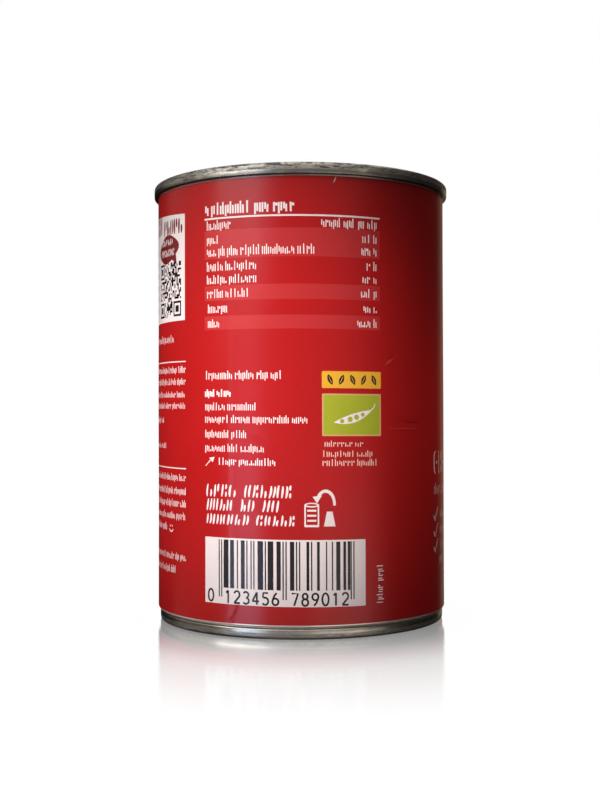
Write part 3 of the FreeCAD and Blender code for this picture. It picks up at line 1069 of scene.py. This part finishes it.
def moved(points, rounds, gap):
    dirs = [unit(a, b) for a, b in zip(points, points[1:])]
    line = [(points[0][0] - dirs[0][1] * gap, points[0][1] + dirs[0][0] * gap)]
    new_rounds = [0.0]
    for i in range(1, len(points) - 1):
        (ax, az), (bx, bz) = dirs[i - 1], dirs[i]
        turn = ax * bz - az * bx
        k = gap / (1.0 + ax * bx + az * bz)
        line.append((points[i][0] - (az + bz) * k, points[i][1] + (ax + bx) * k))
        new_rounds.append(rounds[i] + (-gap if turn > 0 else gap) if rounds[i] else 0.0)
    line.append((points[-1][0] - dirs[-1][1] * gap, points[-1][1] + dirs[-1][0] * gap))
    new_rounds.append(0.0)
    return line, new_rounds


WALL = 0.25
SEAM_BULGE = 0.06
BEAD_STEP = 0.45


def end_profile(inner, outer, length, wall_radius, to_z):
    """The end's closed outline: face and seam first, then its hidden side."""
    slope = math.tan(math.radians(4.0))
    depth, groove = 4.20, 1.25
    groove_out = inner - depth * slope
    groove_in = groove_out - groove
    panel_r = groove_in - 0.30
    panel_d = depth - 0.90
    points, rounds = [(0.0, 0.0)], [0.0]
    shares = (0.400, 0.560, 0.760, 0.895)
    for i, share in enumerate(shares):
        sunk = (len(shares) - i) % 2 == 1
        here = panel_d + (BEAD_STEP if sunk else 0.0)
        after = panel_d + (0.0 if sunk else BEAD_STEP)
        r = panel_r * share
        points += [(r - BEAD_STEP / 2, here), (r + BEAD_STEP / 2, after)]
        rounds += [0.50, 0.50]
    points[0] = (0.0, points[1][1])
    points += [(panel_r, panel_d), (groove_in, depth), (groove_out, depth), (inner, 0.0)]
    rounds += [0.45, 0.55, 0.55, 0.30]
    skin, skin_rounds = list(points), list(rounds)
    shown = skin + [(outer - SEAM_BULGE, 0.0), (outer, length * 0.55), (outer - SEAM_BULGE * 0.5, length),
                    (wall_radius, length)]
    shown_rounds = skin_rounds + [0.72, 6.0, 0.45, 0.0]
    hidden, hidden_rounds = moved(skin, skin_rounds, WALL)
    foot_r = inner + WALL / math.cos(math.radians(4.0)) - length * slope
    hidden[0] = (0.0, hidden[0][1])
    hidden[-1] = (foot_r, length)
    hidden_rounds[-1] = 0.0
    a = rounded(shown, shown_rounds)
    b = rounded(hidden, hidden_rounds, 4.0, 30.0)
    return [(r, to_z(d)) for r, d in a], [(r, to_z(d)) for r, d in b]


def lathe(name, shown, hidden, material, dents, around=360, flip=False):
    """A closed turned piece: the shown line, then the hidden line back to the axis."""
    loop = shown + hidden[::-1]
    co, rings_at = [], []
    for r, z in loop:
        if r < 1e-6:
            rings_at.append(("pole", len(co)))
            co.append((0.0, 0.0, z))
        else:
            rings_at.append(("ring", len(co)))
            for k in range(around):
                th = 2.0 * math.pi * k / around
                co.append((r * math.sin(th), -r * math.cos(th), z))
    faces = []
    m = len(loop)
    for i in range(m):
        (ka, a), (kb, b) = rings_at[i], rings_at[(i + 1) % m]
        if ka == "pole" and kb == "pole":
            continue
        for k in range(around):
            n = (k + 1) % around
            if ka == "pole":
                faces.append((a, b + k, b + n))
            elif kb == "pole":
                faces.append((a + k, b, a + n))
            else:
                faces.append((a + k, b + k, b + n, a + n))
    if flip:
        faces = [f[::-1] for f in faces]
    co = np.array(co)
    th = np.arctan2(co[:, 0], -co[:, 1])
    rad = np.hypot(co[:, 0], co[:, 1])
    co = dents(co, th, rad)
    mesh = bpy.data.meshes.new(name)
    mesh.from_pydata((co * MM).tolist(), [], faces)
    mesh.materials.append(material)
    mesh.polygons.foreach_set("use_smooth", np.ones(len(faces), bool))
    mesh.update()
    mesh.set_sharp_from_angle(angle=math.radians(38.0))
    piece = bpy.data.objects.new(name, mesh)
    bpy.context.scene.collection.objects.link(piece)
    return piece


def seam_wear(seed, z_lo, z_hi, r_in, count, depth, crown_up):
    """Small knocks and a slightly uneven fold on the seam, all pressed inwards."""
    g = np.random.default_rng(seed)
    marks = [(g.uniform(-math.pi, math.pi), g.uniform(z_lo, z_hi), g.uniform(0.5, 1.6), g.uniform(0.35, 0.9),
              depth * g.uniform(0.3, 1.0)) for _ in range(count)]
    folds = [(int(g.integers(5, 60)), g.uniform(0, 2 * math.pi), g.uniform(0.2, 1.0)) for _ in range(9)]

    def press(co, th, rad):
        seam = ease((rad - r_in) / 0.25)
        zone = seam * ease((co[:, 2] - (z_lo - 0.6)) / 0.4) * ease(((z_hi + 0.6) - co[:, 2]) / 0.4)
        push = np.zeros(len(co))
        for a, z, w, h, d in marks:
            da = (th - a + math.pi) % (2 * math.pi) - math.pi
            push += d * np.exp(-((da * 37.0) / w) ** 2 - ((co[:, 2] - z) / h) ** 2)
        for n, ph, amp in folds:
            push += 0.0035 * amp * (1.0 + np.sin(n * th + ph))
        push = np.minimum(push, 0.10) * zone
        scale = 1.0 - push / np.maximum(rad, 1.0)
        co = co.copy()
        co[:, 0] *= scale
        co[:, 1] *= scale
        return co
    return press


# the last pair paints shade into the fold under the top seam
top_metal = tinplate("tinplate_top", (0.64, 0.622, 0.560), 0.19, 1.0, (0.10775, 0.1101, 1.0), (0.10683, 0.10671))
base_metal = tinplate("tinplate_base", (0.64, 0.618, 0.560), 0.21, 1.0, (-0.0002, 0.0012, 0.6))
body_metal = tinplate("tinplate_wall", (0.92, 0.84, 0.80), 0.12, 0.45)

shown, hidden = end_profile(36.30, 37.65, 2.85, BODY_R, lambda d: CROWN - d)
top_piece = lathe("top_lid", shown, hidden, top_metal, seam_wear(3, 107.15, 109.25, 36.0, 46, 0.09, True))
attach(top_piece, "root")
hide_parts("top_end")

shown, hidden = end_profile(34.80, 36.15, 2.55, 35.12, lambda d: d)
base_piece = lathe("base_lid", shown, hidden, base_metal, seam_wear(8, 0.6, 2.2, 35.25, 26, 0.05, False), flip=True)
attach(base_piece, "root")
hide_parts("bottom_end")

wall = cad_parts["can_body"]
wall.data.materials.clear()
wall.data.materials.append(body_metal)

# ---------------------------------------------------------------------------
# floor, light, camera
# ---------------------------------------------------------------------------


def make_floor():
    n, reach = 48, 3.0
    co, faces = [], []
    for j in range(n + 1):
        for i in range(n + 1):
            u, v = 2.0 * i / n - 1.0, 2.0 * j / n - 1.0
            co.append((reach * u * abs(u), reach * v * abs(v), 0.0))
    for j in range(n):
        for i in range(n):
            a = j * (n + 1) + i
            faces.append((a, a + 1, a + n + 2, a + n + 1))
    mesh = bpy.data.meshes.new("floor")
    mesh.from_pydata(co, [], faces)
    m = Tree("floor_pale")
    place = m.place()
    x, y, _ = m.split(place)
    r = m.math("SQRT", m.math("ADD", m.math("MULTIPLY", x, x), m.math("MULTIPLY", y, y)))
    near = m.math("ADD", m.ramp(r, 0.034, 0.070, 0.45, 0.0), m.ramp(r, 0.048, 0.122, 0.44, 0.0))
    shade = m.math("MULTIPLY", m.ramp(r, 0.030, 0.040), m.ramp(r, 0.040, 0.060, 1.0, 0.0))
    grain = m.noise(place, 140.0, 3.0, 0.5)
    m.put(m.bsdf.inputs["Base Color"], m.blend(m.ramp(grain, 0.3, 0.7), (0.10, 0.10, 0.10, 1.0), (0.11, 0.11, 0.11, 1.0)))
    m.bsdf.inputs["Roughness"].default_value = 0.9
    m.bsdf.inputs["Specular IOR Level"].default_value = 0.0
    m.bsdf.inputs["Emission Color"].default_value = (1.0, 1.0, 1.0, 1.0)
    m.put(m.bsdf.inputs["Emission Strength"], m.math("SUBTRACT", 1.0, m.math("MULTIPLY", shade, 0.07)))
    gloss = m.node("ShaderNodeBsdfGlossy")
    gloss.inputs["Roughness"].default_value = 0.0
    # a finely uneven varnish: the mirror image blurs, but stays a mirror image
    grit = m.node("ShaderNodeTexWhiteNoise", noise_dimensions="3D")
    m.put(grit.inputs["Vector"], place)
    gx, gy, _ = m.split(grit.outputs["Color"])
    lean = [m.math("MULTIPLY", m.math("SUBTRACT", v, 0.5), 0.045) for v in (gx, gy)]
    m.put(gloss.inputs["Normal"], m.join(lean[0], lean[1], 1.0))
    gloss.inputs["Color"].default_value = (1.0, 1.0, 1.0, 1.0)
    fres = m.node("ShaderNodeFresnel")
    fres.inputs[0].default_value = 1.5
    mix = m.node("ShaderNodeMixShader")
    m.put(mix.inputs[0], m.math("MULTIPLY", m.math("MULTIPLY", near, fres.outputs[0]), 2.2, clamp=True))
    m.put(mix.inputs[1], m.bsdf.outputs[0])
    m.put(mix.inputs[2], gloss.outputs[0])
    m.put(m.out.inputs["Surface"], mix.outputs[0])
    mesh.materials.append(m.mat)
    floor = bpy.data.objects.new("floor", mesh)
    bpy.context.scene.collection.objects.link(floor)
    floor.visible_diffuse = False
    floor.visible_glossy = False
    floor.visible_shadow = False
    return floor


floor = make_floor()

# room light: white behind the camera's subject, dim and warm elsewhere, with soft
# window fields that the tinplate and the varnish pick up
world = bpy.data.worlds.new("studio")
bpy.context.scene.world = world
world.use_nodes = True


class WorldTree(Tree):
    def __init__(self, world):
        self.t = world.node_tree
        self.bsdf = None


w = WorldTree(world)
for n in list(w.t.nodes):
    w.t.nodes.remove(n)
direction = w.node("ShaderNodeTexCoord").outputs["Generated"]
dx, dy, dz = w.split(direction)
azimuth = w.math("MULTIPLY", w.math("ARCTAN2", dx, w.math("MULTIPLY", dy, -1.0)), 180.0 / math.pi)
elevation = w.math("MULTIPLY", w.math("ARCSINE", dz), 180.0 / math.pi)


def window_field(value, lo, hi, soft):
    up = w.ramp(value, lo - soft, lo + soft)
    down = w.ramp(value, hi - soft, hi + soft, 1.0, 0.0)
    return w.math("MULTIPLY", up, down)


FIELDS = [
    # azimuth from, to, soft; elevation from, to, soft; colour; strength; kind: "lit" lights the
    # can too, "sheen" is only mirrored, "fold" is mirrored and lies on both sides of +Y
    ("window_low", -54, -32, 5, -13, -2, 3, (0.54, 0.68, 1.0), 2.8, "lit"),
    ("window_high", -68, -31, 7, 9, 26, 3, (1.0, 0.96, 0.98), 2.3, "lit"),
    ("window_cool", -42, -20, 5, 10.5, 14, 1.5, (0.50, 0.72, 1.0), 2.6, "sheen"),
    ("front", -24, 50, 10, -9, 9, 4, (0.75, 0.80, 1.0), 0.12, "sheen"),
    ("glare", -60, 66, 12, -11, -5, 2, (1.0, 0.93, 0.88), 0.55, "sheen"),
    ("glare_low", -60, 66, 12, -19, -11, 3, (1.0, 0.93, 0.88), 0.12, "sheen"),
    ("glare_left", -120, -60, 6, -15, -8, 2, (1.0, 0.87, 0.72), 0.28, "sheen"),
    ("glare_right", 8, 54, 5, -15, -8, 2, (1.0, 0.86, 0.74), 0.9, "sheen"),
    ("ceiling", -80, 52, 14, 18, 46, 8, (1.0, 0.92, 0.80), 0.95, "sheen"),
    ("sky", -400, 400, 5, 46, 100, 9, (1.0, 0.96, 0.91), 0.60, "sheen"),
    ("table", -80, 70, 14, -60, -22, 5, (1.0, 0.90, 0.76), 0.06, "sheen"),
    ("left_wall", -128, -62, 9, 8, 34, 4, (1.0, 0.93, 0.84), 0.38, "sheen"),
    ("backdrop", 169.0, 203, 3.0, 8, 20, 2, (1.0, 1.0, 1.0), 1.0, "fold"),
    ("edge", 148, 178, 7, -12, 20, 3, (1.0, 0.78, 0.52), 0.22, "sheen"),
]
AMBIENT = (0.050, 0.045, 0.042, 1.0)
total = w.node("ShaderNodeBackground")
total.inputs[0].default_value = AMBIENT
total.inputs[1].default_value = 1.0
total.name = "ambient"
shader = total.outputs[0]
below = w.ramp(elevation, -30.0, 10.0, 0.35, 1.0)
path = w.node("ShaderNodeLightPath")
mirrored = w.math("SUBTRACT", 1.0, path.outputs["Is Diffuse Ray"])
dark_side = w.math("MULTIPLY", mirrored, w.ramp(w.math("ABSOLUTE", azimuth), 60.0, 110.0, 0.0, 0.70))
w.put(total.inputs[1], w.math("MULTIPLY", below, w.math("SUBTRACT", 1.0, dark_side)))
for name, a0, a1, asoft, e0, e1, esoft, colour, strength, kind in FIELDS:
    if kind == "fold":
        fold = w.math("ABSOLUTE", azimuth)
        mask = w.ramp(fold, a0 - asoft, a0 + asoft)
    else:
        mask = window_field(azimuth, a0, a1, asoft)
    mask = w.math("MULTIPLY", mask, window_field(elevation, e0, e1, esoft))
    if kind != "lit":
        mask = w.math("MULTIPLY", mask, mirrored)
    bg = w.node("ShaderNodeBackground")
    bg.name = name
    bg.inputs[0].default_value = (colour[0], colour[1], colour[2], 1.0)
    w.put(bg.inputs[1], w.math("MULTIPLY", mask, strength))
    add = w.node("ShaderNodeAddShader")
    w.put(add.inputs[0], shader)
    w.put(add.inputs[1], bg.outputs[0])
    shader = add.outputs[0]
white = w.node("ShaderNodeBackground")
white.inputs[0].default_value = (1.0, 1.0, 1.0, 1.0)
white.inputs[1].default_value = 1.0
seen = w.node("ShaderNodeMixShader")
w.put(seen.inputs[0], w.math("MAXIMUM", path.outputs["Is Camera Ray"], path.outputs["Is Singular Ray"]))
w.put(seen.inputs[1], shader)
w.put(seen.inputs[2], white.outputs[0])
out = w.node("ShaderNodeOutputWorld")
w.put(out.inputs["Surface"], seen.outputs[0])


def soft_spot(name, az, el, power, reach=73.0, aim_z=55.0, dist=0.80, size=0.012, colour=(1, 1, 1), glossy=False):
    data = bpy.data.lights.new(name, "SPOT")
    data.energy = power
    data.color = colour
    data.shadow_soft_size = size
    data.spot_size = 2.0 * math.atan(reach * MM / dist)
    data.spot_blend = 1.0
    lamp = bpy.data.objects.new(name, data)
    a, e = math.radians(az), math.radians(el)
    aim = Vector((0, 0, aim_z * MM))
    lamp.location = aim + dist * Vector((math.sin(a) * math.cos(e), -math.cos(a) * math.cos(e), math.sin(e)))
    lamp.rotation_euler = (aim - lamp.location).to_track_quat("-Z", "Y").to_euler()
    bpy.context.scene.collection.objects.link(lamp)
    lamp.visible_glossy = glossy
    lamp.visible_camera = False
    return lamp


LAMPS = [
    # name, azimuth, elevation, power, reach, aim, colour
    ("key_left_a", -52, 0, 8.9, 79, 54, (1.0, 0.92, 0.90)),
    ("key_left_a_high", -52, 36, 3.5, 57, 52, (1.0, 0.92, 0.90)),
    ("key_left_b", -14, 0, 10.9, 66, 48, (1.0, 0.90, 0.88)),
    ("key_left_b_mid", -14, 26, 5.5, 56, 47.5, (1.0, 0.90, 0.88)),
    ("key_left_b_high", -14, 50, 6.75, 40, 46, (1.0, 0.90, 0.88)),
    ("back_right", 130, 0, 18.4, 48, 51, (1.0, 0.82, 0.76)),
    ("back", 180, 0, 10, 78, 56, (1.0, 0.94, 0.90)),
    ("back_left", -135, 0, 10, 78, 56, (1.0, 0.94, 0.92)),
]
for name, az, el, power, reach, aim, colour in LAMPS:
    soft_spot(name, az, el, power, reach, aim, colour=colour)
soft_spot("top_soft", -30, 74, 10.0, reach=120.0, aim_z=108.0, dist=0.9, size=0.20, glossy=True)

camera_data = bpy.data.cameras.new("camera")
camera_data.sensor_width = 36.0
camera_data.sensor_fit = "AUTO"
camera_data.lens = 1208.9 / 800.0 * 36.0
camera_data.clip_start = 0.01
camera_data.clip_end = 20.0
camera = bpy.data.objects.new("camera", camera_data)
bpy.context.scene.collection.objects.link(camera)
camera.location = (0.0, -0.3132, 0.05135)
pitch, yaw, roll = math.radians(0.746), math.radians(0.046), math.radians(-0.150)
forward = Vector((-math.sin(yaw) * math.cos(pitch), math.cos(yaw) * math.cos(pitch), math.sin(pitch)))
side = Vector((math.cos(yaw), math.sin(yaw), 0.0))
up = side.cross(forward)
s2 = side * math.cos(roll) + up * math.sin(roll)
u2 = up * math.cos(roll) - side * math.sin(roll)
turn = Matrix((s2, u2, -forward)).transposed()
camera.rotation_euler = turn.to_euler()
bpy.context.scene.camera = camera

scene = bpy.context.scene
scene.view_settings.view_transform = "Standard"
scene.view_settings.look = "None"
scene.view_settings.exposure = 0.0
scene.view_settings.gamma = 1.0
